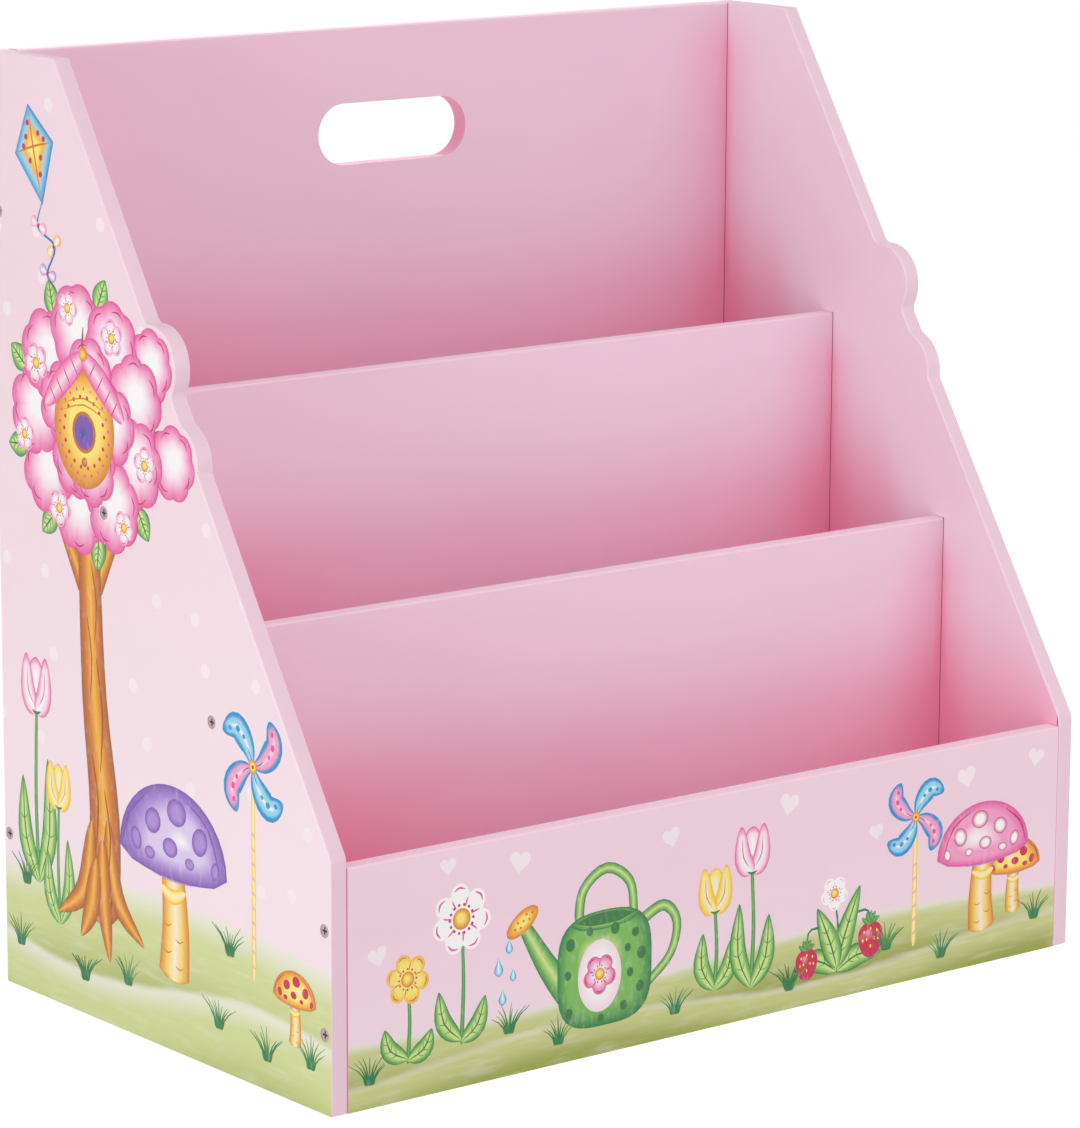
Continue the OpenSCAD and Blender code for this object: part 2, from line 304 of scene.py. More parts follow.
def make_pocket_shade_group():
    """How far painted shade deepens the pink inside: low in the pockets, in their corners and a little to
    the left.
    """
    graph, given, out = new_group("pocket painted shade", {"Place": "vector", "Inside": "number"},
                                  {"Share": "number", "Joint": "number"})
    across, inward, up = graph.add("ShaderNodeSeparateXYZ", {"Vector": given["Place"]}).outputs
    lip, rim = ROW_TOPS[0], ROW_TOPS[1]
    for row in (1, 2):
        face = ROW_FACES[row] + JOINT_REACH
        nearing = graph.step(inward, face, ROW_FACES[row] + LIP_RUN)
        lip = graph.math("MULTIPLY_ADD", nearing, ROW_TOPS[row] - ROW_TOPS[row - 1], lip)
        behind = graph.math("GREATER_THAN", inward, face)
        rim = graph.math("MULTIPLY_ADD", behind, ROW_TOPS[row + 1] - ROW_TOPS[row], rim)
    above_lip = graph.math("SUBTRACT", up, lip)
    under_rim = graph.math("SUBTRACT", rim, up)
    from_left = graph.math("ADD", INNER_HALF, across)
    from_right = graph.math("SUBTRACT", INNER_HALF, across)
    from_end = graph.math("MINIMUM", from_left, from_right)
    pitch = ROW_FACES[1] - ROW_FACES[0]
    to_board = graph.math("MODULO", graph.math("SUBTRACT", ROW_FACES[3] + JOINT_REACH, inward), pitch)
    low = low_painted_shade(graph, above_lip, from_left, from_right)
    share = graph.math("ADD", low, corner_painted_shade(graph, from_end, to_board, under_rim))
    closed = graph.math("MAXIMUM", graph.math("SUBTRACT", given["Inside"], POCKET_MARK), 0.0)
    share = graph.math("MULTIPLY_ADD", share, given["Inside"], closed)
    graph.feed(out["Share"], graph.math("MINIMUM", share, 1.0))
    # Painted shade at the joints: the grooves at the board ends and the fine line on the walls
    grooved = graph.step(given["Inside"], SLOT_MARK, GROOVE_MARK)
    lined = wall_shade_line(graph, from_end, to_board, under_rim)
    graph.feed(out["Joint"], graph.math("MAXIMUM", grooved, lined))
    return graph.tree


# Hills: their brush strokes, which also shift the crest's line, and how crest, green and moss run over
STROKE_SIZE, STROKE_SHIFT, STROKE_FADE, STROKE_COVER = 5 * MM, 3 * MM, (0.45, 0.75), 0.3
CREST_SOFTNESS = 6 * MM
GREEN_FADE, MOSS_FADE = (0.05, 0.75), (0.8, 2.6)


def make_hill_group():
    """One hill painted over what is under it: a pale soft crest, then green, then moss."""
    graph, given, out = new_group(
        "painted hill",
        {"Under": "colour", "Green": "colour", "Along": "number", "Up": "number",
         "Height": "number", "Swing": "number", "Length": "number", "Phase": "number",
         "Depth": "number"},
        {"Colour": "colour"},
    )
    turns = graph.math("DIVIDE", given["Along"], given["Length"])
    wave = graph.math("SINE", graph.math("MULTIPLY_ADD", turns, 2 * math.pi, given["Phase"]))
    line = graph.math("MULTIPLY_ADD", wave, given["Swing"], given["Height"])
    spot = graph.add("ShaderNodeCombineXYZ", {"X": given["Along"], "Z": given["Up"]}).outputs[0]
    strokes = graph.noise(spot, STROKE_SIZE, detail=4, stretch=(7, 1, 1))
    below = graph.math("MULTIPLY_ADD", strokes, STROKE_SHIFT, graph.math("SUBTRACT", line, given["Up"]))
    share = graph.math("DIVIDE", below, given["Depth"])
    green = graph.mix(graph.step(share, *GREEN_FADE), CREST, given["Green"])
    green = graph.mix(graph.step(share, *MOSS_FADE), green, MOSS)
    pale = graph.math("MULTIPLY", graph.step(strokes, *STROKE_FADE), STROKE_COVER)
    brushed = graph.mix(pale, green, CREST)
    inside = graph.step(below, 0.0, CREST_SOFTNESS)
    graph.feed(out["Colour"], graph.mix(inside, given["Under"], brushed))
    return graph.tree


SATIN = make_satin_group()
POCKET_SHADE = make_pocket_shade_group()
HILL = make_hill_group()


def new_material(name, record_tone):
    """A material with its Principled shader, its graph and its object coordinates."""
    material = bpy.data.materials.new(name)
    material.use_nodes = True
    material.diffuse_color = (*record_tone, 1)
    graph = Graph(material.node_tree)
    shader = material.node_tree.nodes["Principled BSDF"]
    place = graph.add("ShaderNodeTexCoord").outputs["Object"]
    return material, graph, shader, place


def feed_surface(graph, shader, colour, roughness, height, depth):
    """Feeds the shader with a colour, a roughness and a bump of some depth."""
    bump = graph.add("ShaderNodeBump", {"Height": height, "Distance": depth}).outputs[0]
    for socket, value in (("Base Color", colour), ("Roughness", roughness), ("Normal", bump)):
        graph.feed(shader.inputs[socket], value)


def satin_finish(graph, shader, place, colour, edge, cloud=0.05):
    """Feeds the shader with satin paint over a colour. Edge is the share of paler edge, partly rubbed wear
    and partly painted highlight.
    """
    inputs = {"Place": place, "Tone": colour, "Edge tone": PALE_EDGE, "Edge": edge, "Cloud": cloud}
    paint = graph.add("ShaderNodeGroup", inputs, node_tree=SATIN).outputs
    feed_surface(graph, shader, paint["Colour"], paint["Roughness"], paint["Height"], SATIN_BUMP)
    shader.inputs["Specular IOR Level"].default_value = SATIN_SHINE


def make_plain_paint(name, open_tone, inside_tone):
    """Plain satin paint in one tone where it is open and another in the pockets, deepened there by painted
    shade.
    """
    material, graph, shader, place = new_material(name, inside_tone)
    edge, inside = (
        graph.add("ShaderNodeAttribute", attribute_name=layer).outputs["Fac"] for layer in BOARD_LAYERS
    )
    pocket = graph.add("ShaderNodeGroup", {"Place": place, "Inside": inside}, node_tree=POCKET_SHADE).outputs
    # Over the inside tone go the painted shade of the pockets and the painted shade lines of the joints
    colour = graph.mix(graph.math("MINIMUM", inside, POCKET_MARK), open_tone, inside_tone)
    colour = graph.mix(pocket["Share"], colour, PAINTED_SHADE_PINK)
    satin_finish(graph, shader, place, graph.mix(pocket["Joint"], colour, JOINT_SHADE_ROSE), edge)
    return material


def add_hills(graph, colour, along, up, green, hills):
    """Paints hills from the far one to the near one. Each is height, swing, length, phase, depth."""
    for height, swing, length, phase, depth in hills:
        inputs = {
            "Under": colour, "Green": green, "Along": along, "Up": up, "Phase": phase,
            "Height": height * MM, "Swing": swing * MM, "Length": length * MM, "Depth": depth * MM,
        }
        colour = graph.add("ShaderNodeGroup", inputs, node_tree=HILL).outputs[0]
    return colour


# Pictures' grounds: clouds that shift the mist, its fade, and the white dots' scatter, edge and cover
MIST_SIZE, MIST_SHIFT, MIST_FADE = 90 * MM, 0.3, (0.35, 1.3)
DOT_SCATTER, DOT_EDGE, DOT_COVER = 0.55, (4.0 * MM, 5.1 * MM), 0.75

# Brush marks in the motifs' paint
BRUSH_SIZE, BRUSH_FADE, BRUSH_COVER = 3.5 * MM, (0.5, 0.85), 0.22


def make_ground(name, ground, mist, mist_top, across, green, hills, dot_pitch=0):
    """A picture's ground: pale pink over mist and green hills, with white dots if it has a dot pitch."""
    material, graph, shader, place = new_material(name, ground)
    parts = graph.add("ShaderNodeSeparateXYZ", {"Vector": place}).outputs
    along, up = parts[across], parts["Z"]
    drift = graph.math("MULTIPLY_ADD", graph.noise(place, MIST_SIZE), MIST_SHIFT * mist_top, up)
    colour = graph.mix(graph.step(drift, *(share * mist_top for share in MIST_FADE)), mist, ground)
    if dot_pitch:
        flat = graph.add("ShaderNodeCombineXYZ", {"X": along, "Y": up}).outputs[0]
        inputs = {"Vector": flat, "Scale": 1 / dot_pitch, "Randomness": DOT_SCATTER}
        cells = graph.add("ShaderNodeTexVoronoi", inputs, voronoi_dimensions="2D")
        reach = graph.math("MULTIPLY", cells.outputs["Distance"], dot_pitch)
        inside_dot = graph.math("SUBTRACT", 1.0, graph.step(reach, *DOT_EDGE))
        dot = graph.math("MULTIPLY", inside_dot, DOT_COVER)
        colour = graph.mix(dot, colour, DOT_WHITE)
    colour = add_hills(graph, colour, along, up, green, hills)
    satin_finish(graph, shader, place, colour, 0.0, cloud=0.03)
    return material


def make_hand_paint():
    """Picture paint: the colour laid down with each shape, with a little brush variation."""
    material, graph, shader, place = new_material("hand_paint", ROSE)
    laid = graph.add("ShaderNodeAttribute", attribute_name="paint").outputs["Color"]
    brush = graph.noise(place, BRUSH_SIZE, detail=4, stretch=(1, 1, 2))
    pale = graph.math("MULTIPLY", graph.step(brush, *BRUSH_FADE), BRUSH_COVER)
    satin_finish(graph, shader, place, graph.mix(pale, laid, WHITE), 0.0, cloud=0.06)
    return material


# Screws and dowels: the sizes of spots, grain and flecks, how the roughness goes with them, and the bumps
SPOT_SIZE, SPOT_CHANGE, SPOT_LEAST, ZINC_BUMP = 0.9 * MM, 0.25, 0.35, 0.03 * MM
GRAIN_SIZE, GRAIN_CHANGE, GRAIN_LEAST, BEECH_BUMP = 0.8 * MM, 0.2, 0.5, 0.05 * MM
FLECK_SIZE, FLECK_FADE, FLECK_COVER = 0.5 * MM, (0.62, 0.7), 0.5


def make_zinc():
    """Dull zinc plate with fine spots, tinted pink as a painted reflection of the pink case."""
    material, graph, shader, place = new_material("zinc_plate", ZINC)
    spots = graph.noise(place, SPOT_SIZE, detail=4)
    colour = graph.mix(spots, ZINC_DARK_SPOTS_AND_REFLECTION, ZINC_PALE_SPOTS_AND_REFLECTION)
    rough = graph.math("MULTIPLY_ADD", spots, SPOT_CHANGE, SPOT_LEAST)
    feed_surface(graph, shader, colour, rough, spots, ZINC_BUMP)
    shader.inputs["Metallic"].default_value = 1.0
    return material


def make_beech():
    """Bare beech with its grain and flecks."""
    material, graph, shader, place = new_material("bare_beech", BEECH)
    grain = graph.noise(place, GRAIN_SIZE, detail=4, stretch=(22, 1, 1))
    flecks = graph.step(graph.noise(place, FLECK_SIZE, detail=1, stretch=(5, 1, 1)), *FLECK_FADE)
    wood = graph.mix(grain, BEECH_SHADE, BEECH_SHINE)
    wood = graph.mix(graph.math("MULTIPLY", flecks, FLECK_COVER), wood, BEECH_FLECK)
    rough = graph.math("MULTIPLY_ADD", grain, GRAIN_CHANGE, GRAIN_LEAST)
    feed_surface(graph, shader, wood, rough, grain, BEECH_BUMP)
    return material


# The side panels' inner walls take a lighter pink as painted light, the back panel's inner face a darker
# pink as painted shade
SIDE_PAINT = make_plain_paint("side_panel_paint", EDGE_PINK, LIT_WALL_PINK)
BACK_PAINT = make_plain_paint("back_panel_paint", PINK, SHADED_BACK_PINK)
BOARD_PAINT = make_plain_paint("board_paint", PINK, PINK)
SIDE_GROUND = make_ground(
    "side_picture_ground", PINK_GROUND, PINK_MIST, 400 * MM, "Y", SPRING_GREEN,
    [(88, 8, 560, 1.9, 34), (40, 10, 380, 3.3, 30)],
    dot_pitch=54 * MM,
)
FRONT_GROUND_PAINT = make_ground(
    "front_picture_ground", FRONT_GROUND, FRONT_MIST, 100 * MM, "X", MEADOW,
    [(45, 6, 620, 0.3, 14), (21, 6, 390, 3.4, 10)],
)
HAND_PAINT = make_hand_paint()
ZINC_PLATE = make_zinc()
BARE_BEECH = make_beech()


# Boards: spots this near are one, the side panels' eased edges, the grooves at the joints, and the reach
# of the largest round hole and of the hand slot
WELD = 0.005 * MM
PANEL_EASE = 1.1 * MM
JOINT_DEPTH, JOINT_WIDTH = 1.6 * MM, 0.5 * MM
HOLE_LIMIT, SLOT_REACH = 30 * MM, 70 * MM
FLAT_ANGLE, SHARP_ANGLE, RIM_ANGLE = (math.radians(angle) for angle in (0.5, 30, 60))

# How much of a face's normal lies along an axis
HARDLY, TILTED, SQUARE, FLUSH = 0.1, 0.2, 0.9, 0.99


def edge_groups(edges):
    """Lists of edges that join at their ends."""
    waiting, groups = dict.fromkeys(edges, True), []
    while waiting:
        group, open_edges = [], [waiting.popitem()[0]]
        while open_edges:
            edge = open_edges.pop()
            group.append(edge)
            for vert in edge.verts:
                for near in vert.link_edges:
                    if waiting.pop(near, False):
                        open_edges.append(near)
        groups.append(group)
    return groups


def span(edges):
    """The longest side of the box round some edges."""
    places = [vert.co for edge in edges for vert in edge.verts]
    return max(max(p[i] for p in places) - min(p[i] for p in places) for i in range(3))


def mark(bm, faces, name, share):
    """Marks faces in one of the two layers that the paint reads: inside or eased."""
    layer = bm.loops.layers.float[name]
    for face in faces:
        for loop in face.loops:
            loop[layer] = share


def bevel_rims(bm, rims, offset, segments):
    """Bevels some edges of a board. Gives the new faces."""
    return bmesh.ops.bevel(
        bm, geom=rims, offset=offset, offset_type="OFFSET", segments=segments, profile=0.5,
        affect="EDGES", clamp_overlap=False, material=-1,
    )["faces"]


def on_top(face):
    """Whether a face is part of the eased top edge of an upright board."""
    place = face.calc_center_median()
    return face.normal.z > TILTED and any(
        abs(place.z - top) < PANEL_EASE and front < place.y < back
        for top, front, back in zip(ROW_TOPS, ROW_FACES, ROW_BACKS)
    )


def on_lip(face):
    """Whether a face is part of the front rounding of such a top edge."""
    return on_top(face) and face.normal.y < -TILTED


def in_pocket(face):
    """Whether a face stands or lies in a pocket."""
    place, normal = face.calc_center_median(), face.normal
    if abs(place.x) > INNER_HALF - MM:
        return abs(normal.x) > SQUARE and abs(place.x) < INNER_HALF + WELD
    upright = abs(normal.y) > SQUARE and FRONT_FACE + MM < place.y < BACK_FACE - MM
    return upright or (normal.z > SQUARE and place.z < ROW_TOPS[2] and not on_top(face))


def in_slot(face):
    """Whether a face is part of the wall of the back panel's hand slot."""
    place = face.calc_center_median()
    inner = place.y > ROW_FACES[3] and SLOT_REACH < place.z < CASE_TOP - MM
    return inner and abs(face.normal.y) < HARDLY and abs(place.x) < SLOT_REACH


def ease_edges(bm, rims, outward):
    """Rounds a side panel's edges. The picture's ground goes round to their middle on the outer face."""
    eased = bevel_rims(bm, rims, PANEL_EASE, 3)
    mark(bm, eased, "eased", SIDE_EASE)
    mark(bm, eased, "inside", 0.0)
    for face in eased:
        face.material_index = 1 if face.normal.x * outward > 0.5 else 0
        for edge in face.edges:
            edge.smooth = True


def at_end(edge):
    """Whether an edge lies in one of the two ends where a board meets the side panels."""
    first, second = (vert.co.x for vert in edge.verts)
    return abs(first - second) < WELD and abs(first) > INNER_HALF - WELD


def open_joints(bm, rims, share):
    """Turns the rims of a board's two ends into the fine V that shows where it meets a side panel, and
    marks the V for painted shade.
    """
    grooves = bevel_rims(bm, rims, JOINT_DEPTH, 1)
    mark(bm, grooves, "inside", share)
    mark(bm, grooves, "eased", 0.0)
    for face in grooves:
        face.material_index = 0
        face.smooth = False
    for vert in {vert for face in grooves for vert in face.verts}:
        if abs(abs(vert.co.x) - (INNER_HALF - JOINT_DEPTH)) < WELD:
            vert.co.x = math.copysign(INNER_HALF - JOINT_WIDTH, vert.co.x)


def long_rims(bm):
    """Makes a board's sharp edges hard. Gives those of its outline and slot, not of its small holes."""
    sharp = [e for e in bm.edges if e.is_manifold and e.calc_face_angle() > SHARP_ANGLE]
    for edge in sharp:
        edge.smooth = False
    corners = [e for e in sharp if e.is_convex and e.calc_face_angle() > RIM_ANGLE]
    return [e for group in edge_groups(corners) if span(group) > HOLE_LIMIT for e in group]


def mark_paint(bm):
    """Marks where a board is inside or eased, for its paint."""
    for name in BOARD_LAYERS:
        bm.loops.layers.float.new(name)
    for test, name, share in (
        (in_pocket, "inside", POCKET_MARK), (in_slot, "inside", SLOT_MARK),
        (on_top, "eased", TOP_EASE), (on_lip, "eased", LIP_EASE),
    ):
        mark(bm, [face for face in bm.faces if test(face)], name, share)


def make_board(node, paint, face_paint=None, on_face=None):
    """A finished board in place of its CAD node. on_face says which faces hold a picture."""
    mesh = bpy.data.meshes.new(node + "_board")
    board = new_object(node + "_board", mesh)
    bm = bmesh.new()
    bm.from_mesh(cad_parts[node].data)
    bmesh.ops.remove_doubles(bm, verts=bm.verts, dist=WELD)
    bmesh.ops.dissolve_limit(bm, angle_limit=FLAT_ANGLE, verts=bm.verts, edges=bm.edges)
    rims = long_rims(bm)
    mark_paint(bm)
    for face in bm.faces:
        face.smooth = True
        face.material_index = 1 if on_face and on_face(face) else 0
    if node.endswith("side_panel"):
        ease_edges(bm, rims, -1 if node == "left_side_panel" else 1)
    else:
        groove = FRONT_GROOVE_MARK if node == "front_panel" else GROOVE_MARK
        open_joints(bm, [e for e in rims if at_end(e)], groove)
    bm.to_mesh(mesh)
    bm.free()
    for material in (paint, face_paint) if face_paint else (paint,):
        mesh.materials.append(material)
    board.modifiers.new("weighted normals", "WEIGHTED_NORMAL").keep_sharp = True
    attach(board, "root")
    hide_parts(node)


def faces_out(axis, plane):
    """A test for the faces that lie in the plane at that place on the axis."""
    def lies_there(face):
        near = abs(face.calc_center_median()[axis] - plane) < 10 * WELD
        return near and abs(face.normal[axis]) > FLUSH
    return lies_there


make_board("left_side_panel", SIDE_PAINT, SIDE_GROUND, faces_out(0, LEFT_FACE))
make_board("right_side_panel", SIDE_PAINT, SIDE_GROUND, faces_out(0, RIGHT_FACE))
make_board("front_panel", BOARD_PAINT, FRONT_GROUND_PAINT, faces_out(1, FRONT_FACE))
make_board("back_panel", BACK_PAINT)
for inside_board in ("middle_divider", "upper_divider", "lower_shelf", "middle_shelf", "upper_shelf"):
    make_board(inside_board, BOARD_PAINT)


# Screws and dowels keep their CAD shapes
for node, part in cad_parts.items():
    if node.endswith(("screws", "dowels")):
        part.data.materials.clear()
        part.data.materials.append(ZINC_PLATE if node.endswith("screws") else BARE_BEECH)


# Painted pictures: every shape is a thin film of paint, drawn in millimetres on its face. A film lies
# one thickness above those that it covers, is sunk into the board and keeps clear of the screw heads.
FILM, SUNK, MERGE = 0.018 * MM, 0.04 * MM, 0.001 * MM

# In the picture's millimetres: shapes this near touch, and paint stops this far from a screw's middle
TOUCH, SCREW_CLEAR = 0.01, 5.4

# A shape is tried at a few spots along and across it, and gets a finer grid if one is near a screw head
TRIES_ALONG, TRIES_ACROSS = 16, 4
FINER_ALONG, FINER_ACROSS = 3, 4


def screw_spots():
    """The middle of each screw head on the left side, in millimetres to the rear and up."""
    heads = []
    for node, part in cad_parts.items():
        rim = [v.co for v in part.data.vertices if node.endswith("screws") and v.co.x < LEFT_FACE + MM]
        for place in rim:
            spot = Vector((place.y, place.z)) / MM
            head = next((head for head in heads if (head[0] - spot).length < 2 * SCREW_CLEAR), None)
            if head:
                head.append(spot)
            else:
                heads.append([spot])
    return [sum(head, Vector((0, 0))) / len(head) for head in heads]


def fade(share, *tones):
    """The colour at a share from 0 to 1 along a row of tones."""
    spot = min(max(share, 0), 1) * (len(tones) - 1)
    step = min(int(spot), max(len(tones) - 2, 0))
    near, far = tones[step], tones[min(step + 1, len(tones) - 1)]
    return tuple(a + (b - a) * (spot - step) for a, b in zip(near, far))


def edgewise(*tones):
    """A stroke's colour from its middle line out to its edges."""
    return lambda share, side: fade(abs(side), *tones)


def rimmed(*tones):
    """A petal's colour from its middle out to its edges and its far end."""
    return lambda share, side: fade(max(abs(side), share * 4 - 3), *tones)


def lengthwise(*tones):
    """A stroke's colour from its start to its end."""
    return lambda share, side: fade(share, *tones)


def swell(width, power=0.5, lean=1.0):
    """A half width that is nothing at both ends. A lean over 1 fills the far end."""
    return lambda share: width / 2 * math.sin(math.pi * min(share, 1) ** lean) ** power


def taper(start, end=0.0, power=1.0):
    """A half width that goes from one width at a round start to another at the end."""
    return lambda share: min(1, 4 * math.sqrt(share)) * (end + (start - end) * (1 - share) ** power) / 2


def oval(wide, high, low=None, power=2.0):
    """The reach of an oval at each angle. Low is its height below the middle. Power 1 is a kite."""
    def reach(angle):
        tall = high if low is None or math.sin(angle) >= 0 else low
        return (abs(math.cos(angle) / wide) ** power + abs(math.sin(angle) / tall) ** power) ** (-1 / power)
    return reach


def lobed(size, count, notch=0.3, turn=0.0):
    """The reach of a shape with round lobes at each angle."""
    return lambda angle: size * (1 - notch + notch * abs(math.sin(count * (angle - turn) / 2)) ** 0.6)


def polar(away, angle):
    """The spot at a distance and an angle."""
    return Vector((math.cos(angle), math.sin(angle))) * away


def curve_spot(points, share):
    """The place and the heading at a share along a smooth curve through the points."""
    row = [2 * points[0] - points[1], *points, 2 * points[-1] - points[-2]]
    spot = share * (len(points) - 1)
    step = min(int(spot), len(points) - 2)
    t = spot - step
    a, b, c, d = row[step:step + 4]
    turn, pull = 2 * a - 5 * b + 4 * c - d, 3 * b - a - 3 * c + d
    place = b + 0.5 * ((c - a) * t + turn * t * t + pull * t ** 3)
    heading = (c - a) + 2 * turn * t + 3 * pull * t * t
    return place, heading.normalized()


def put_in_order(parts, place):
    """Sorts a mesh's verts or faces by place, because closing the films leaves them in a chance order."""
    row = sorted(parts, key=lambda part: tuple(place(part)))
    rank = {part: index for index, part in enumerate(row)}
    parts.sort(key=rank.get)


class Picture:
    """Paint on one face of the case. Each shape lies just above the shapes that it covers."""

    def __init__(self, axis, plane, outward, screws=()):
        self.axis, self.plane, self.outward = axis, plane, outward
        self.screws = [Vector(spot) for spot in screws]
        self.laid = []
        self.start_piece()

    def start_piece(self):
        """An empty mesh for the next shapes, with a layer for their paint."""
        self.bm = bmesh.new()
        self.paint = self.bm.verts.layers.float_color.new("paint")

    def on_face(self, spot, lift):
        """The place in the scene of a spot on the picture, lifted off the board."""
        across, up, out = spot.x * MM, spot.y * MM, self.plane + self.outward * lift
        return Vector((out, across, up)) if self.axis == 0 else Vector((across, out, up))

    def layer_over(self, spots):
        """The lowest layer that is above every shape already laid in the same place."""
        low = [min(spot[i] for spot in spots) for i in (0, 1)]
        high = [max(spot[i] for spot in spots) for i in (0, 1)]
        layer = 1
        for other, other_low, other_high in self.laid:
            if all(low[i] - TOUCH < other_high[i] and other_low[i] < high[i] + TOUCH for i in (0, 1)):
                layer = max(layer, other + 1)
        self.laid.append((layer, low, high))
        return layer

    def lay(self, along, across, place, colour):
        """Lays a patch of a grid, finer at a screw head. place and colour take shares from 0 to 1."""
        tries = [
            place(step / TRIES_ALONG, side / TRIES_ACROSS)
            for step in range(TRIES_ALONG + 1) for side in range(TRIES_ACROSS + 1)
        ]
        if self.reaches_screw(tries):
            along, across = along * FINER_ALONG, across * FINER_ACROSS
        verts = bmesh.ops.create_grid(self.bm, x_segments=along, y_segments=across, size=0.5)["verts"]
        shares = [(vert.co.x + 0.5, vert.co.y + 0.5) for vert in verts]
        spots = [place(*share) for share in shares]
        lift = self.layer_over(spots) * FILM
        for vert, share, spot in zip(verts, shares, spots):
            vert[self.paint] = (*colour(*share), 1)
            vert.co = self.on_face(spot, lift)
        self.clear_screws(verts, spots, lift)

    def reaches_screw(self, spots):
        """Whether any of some spots is near a screw head."""
        return any((spot - screw).length < 2 * SCREW_CLEAR for screw in self.screws for spot in spots)

    def clear_screws(self, verts, spots, lift):
        """Draws the paint back from each screw head that it would cover."""
        for screw in self.screws:
            covered = {v for v, spot in zip(verts, spots) if (spot - screw).length < SCREW_CLEAR}
            for vert, spot in zip(verts, spots):
                if vert in covered and (spot - screw).length > 0:
                    vert.co = self.on_face(screw + (spot - screw).normalized() * SCREW_CLEAR, lift)
            near = dict.fromkeys(face for vert in verts if vert in covered for face in vert.link_faces)
            inside = [face for face in near if covered >= set(face.verts)]
            if inside:
                bmesh.ops.delete(self.bm, geom=inside, context="FACES")

    def finish_piece(self, name):
        """Closes the films down into the board and makes them a piece."""
        bm = self.bm
        bmesh.ops.remove_doubles(bm, verts=bm.verts, dist=MERGE)
        films = bm.faces[:]
        under = bmesh.ops.extrude_face_region(bm, geom=films, use_keep_orig=True)["geom"]
        for vert in under:
            if isinstance(vert, bmesh.types.BMVert):
                vert.co[self.axis] = self.plane - self.outward * SUNK
        bmesh.ops.recalc_face_normals(bm, faces=bm.faces)
        put_in_order(bm.verts, lambda vert: vert.co)
        put_in_order(bm.faces, lambda face: face.calc_center_median())
        mesh = bpy.data.meshes.new(name)
        bm.to_mesh(mesh)
        bm.free()
        mesh.materials.append(HAND_PAINT)
        piece = new_object(name, mesh)
        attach(piece, "root")
        self.start_piece()


class Brush:
    """Draws on a picture from its own place, in its own size, turned by some degrees."""

    def __init__(self, picture, spot, size=1.0, turn=0.0):
        self.picture, self.spot, self.size, self.turn = picture, Vector(spot), size, turn

    def at(self, spot):
        """The spot on the picture of a spot of the brush's own."""
        turned = Vector(spot)
        turned.rotate(Matrix.Rotation(math.radians(self.turn), 2))
        return self.spot + turned * self.size

    def move(self, spot, size=1.0, turn=0.0):
        """A brush at another place, in its own size and turn."""
        return Brush(self.picture, self.at(spot), self.size * size, self.turn + turn)

    def stroke(self, points, half, colour, along=12, across=4):
        """A stroke along a smooth line, with its half width and colour as functions."""
        line = [Vector(point) for point in points]

        def run(share):
            """Sets the steps closer together at both ends of the line."""
            return 0.5 - 0.5 * math.cos(math.pi * share)

        def place(s, t):
            spot, heading = curve_spot(line, run(s))
            return self.at(spot + Vector((-heading.y, heading.x)) * half(run(s)) * (2 * t - 1))

        self.picture.lay(along, across, place, lambda s, t: colour(run(s), 2 * t - 1))

    def line(self, points, width, tone_at_start, tone_at_end=None, along=8):
        """A thin line that thins out at both ends."""
        colour = lengthwise(tone_at_start, tone_at_end or tone_at_start)
        self.stroke(points, swell(width, 0.6), colour, along, 1)

    def fill(self, spot, rim, *tones, heart=(0, 0), sides=20):
        """A filled shape, with its tones from the heart out to the rim, a function of the angle."""
        def place(s, t):
            return self.at(Vector(spot) + Vector(heart) * (1 - t) + Vector(rim(2 * math.pi * s)) * t)

        self.picture.lay(sides, max(len(tones) - 1, 1), place, lambda s, t: fade(t, *tones))

    def blob(self, spot, reach, *tones, heart=(0, 0), sides=20):
        """A filled shape whose rim is at the same reach all round, or at a reach for each angle."""
        def rim(angle):
            return polar(reach(angle) if callable(reach) else reach, angle)

        self.fill(spot, rim, *tones, heart=heart, sides=sides)

    def ring(self, spot, radius, count, dot, tone_of_dots, turn=0.0):
        """A ring of small round dots."""
        for step in range(count):
            place = Vector(spot) + polar(radius, 2 * math.pi * step / count + turn)
            self.blob(place, dot, tone_of_dots, sides=8)


# What the pictures show. Each motif stands on the brush's place and is drawn upwards from there, in
# millimetres. Its later shapes lie over its earlier ones.
PETAL_PINK = (WHITE, WHITE, BLUSH, ROSE, MAGENTA)
PETAL_WHITE = (BLUSH, WHITE, WHITE, WHITE)
PETAL_YELLOW = (CREAM, BUTTER, BUTTER, AMBER)
PETAL_CENTRE = (BUTTER, BUTTER, AMBER, RUST)
BLOSSOM_WHITE = (WHITE, WHITE, WHITE, BLUSH, ROSE)
YELLOW_CAP = (CREAM, BUTTER, BUTTER, AMBER, RUST)
PINK_CAP = (WHITE, BLUSH, ROSE, ROSE, MAGENTA)
VIOLET_CAP = (WHITE, LILAC, LILAC, VIOLET, PLUM)


def heart_rim(angle):
    """The rim of a heart that is 16 across."""
    rise = 13 * math.cos(angle) - 5 * math.cos(2 * angle) - 2 * math.cos(3 * angle) - math.cos(4 * angle)
    return 8 * math.sin(angle) ** 3, rise / 2


def paint_leaf(brush, points, width):
    """A leaf with a dark edge, a pale middle, a rib and side veins."""
    brush.stroke(points, swell(width, 0.75, 0.85), rimmed(LIME, LIME, LEAF, PINE), along=14, across=6)
    brush.line(points, width * 0.08, PINE)
    line = [Vector(point) for point in points]
    for share in (0.3, 0.48, 0.66):
        spot, heading = curve_spot(line, share)
        for side in (1, -1):
            out = Vector((-heading.y, heading.x)) * side * width * 0.3 * math.sin(math.pi * share)
            tip = spot + out + heading * width * 0.26
            vein = [spot, spot + out * 0.5 + heading * width * 0.09, tip]
            brush.line(vein, width * 0.045, PINE, LEAF, along=5)


